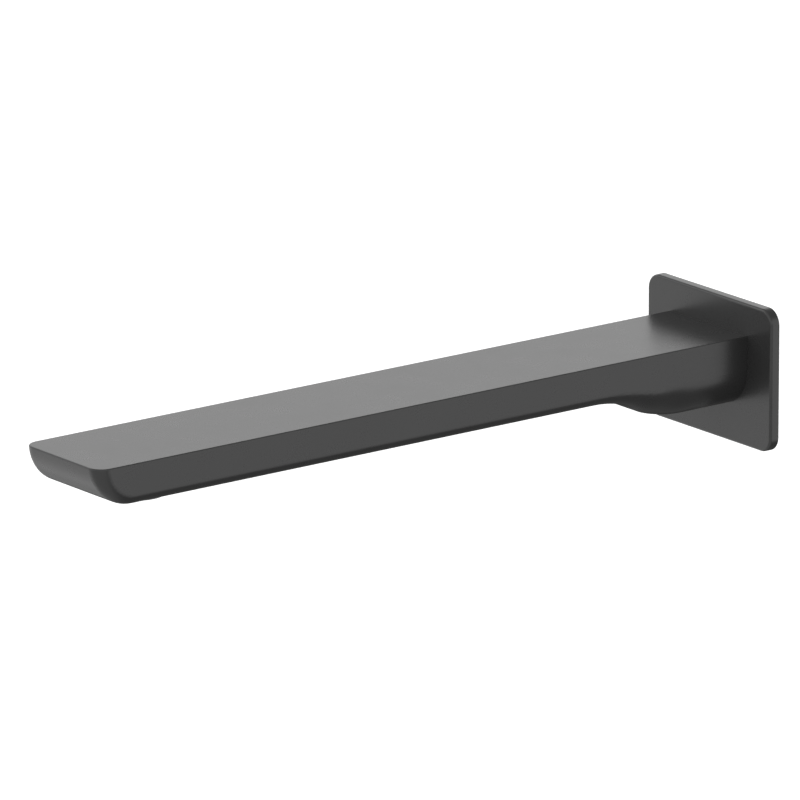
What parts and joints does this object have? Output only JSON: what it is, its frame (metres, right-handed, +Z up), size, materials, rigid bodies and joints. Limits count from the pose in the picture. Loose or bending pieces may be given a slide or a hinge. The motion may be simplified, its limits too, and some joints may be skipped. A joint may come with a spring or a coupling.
{
  "type": "bath spout",
  "caption": "Wall mounted bath spout: a flat straight arm on a small rectangular cover plate, swelling below into a rounded neck, with an aerator under its tip.",
  "frame": {"origin": "on the inlet axis, in the plane of the finished wall face, at the centre of the cover plate's back", "axes": "+Y into the wall along the inlet axis, with the arm reaching towards -Y, +X along the arm's width, +Z up"},
  "size_m": [0.0606, 0.2635, 0.0454],
  "materials": {
    "matt_black_coat": "smooth matt black coat on a brass casting",
    "gasket_foam": "closed cell foam rubber",
    "turned_brass": "turned, bare",
    "seal_rubber": "smooth moulded rubber",
    "screw_steel": "stainless steel, as turned",
    "bright_plate": "bright plate on brass",
    "aerator_plastic": "light grey moulded plastic"
  },
  "bodies": {
    "root": {"spout_body": "matt_black_coat", "wall_plate": "matt_black_coat", "plate_gasket": "gasket_foam", "inlet_nipple": "turned_brass", "rear_spigot_seal": "seal_rubber", "front_spigot_seal": "seal_rubber", "grub_screw": "screw_steel", "aerator_shell": "bright_plate", "aerator_washer": "seal_rubber", "aerator_cartridge": "aerator_plastic", "mesh_disc": "screw_steel", "jet_plate": "aerator_plastic", "filter_screen": "aerator_plastic"}
  },
  "joints": []
}
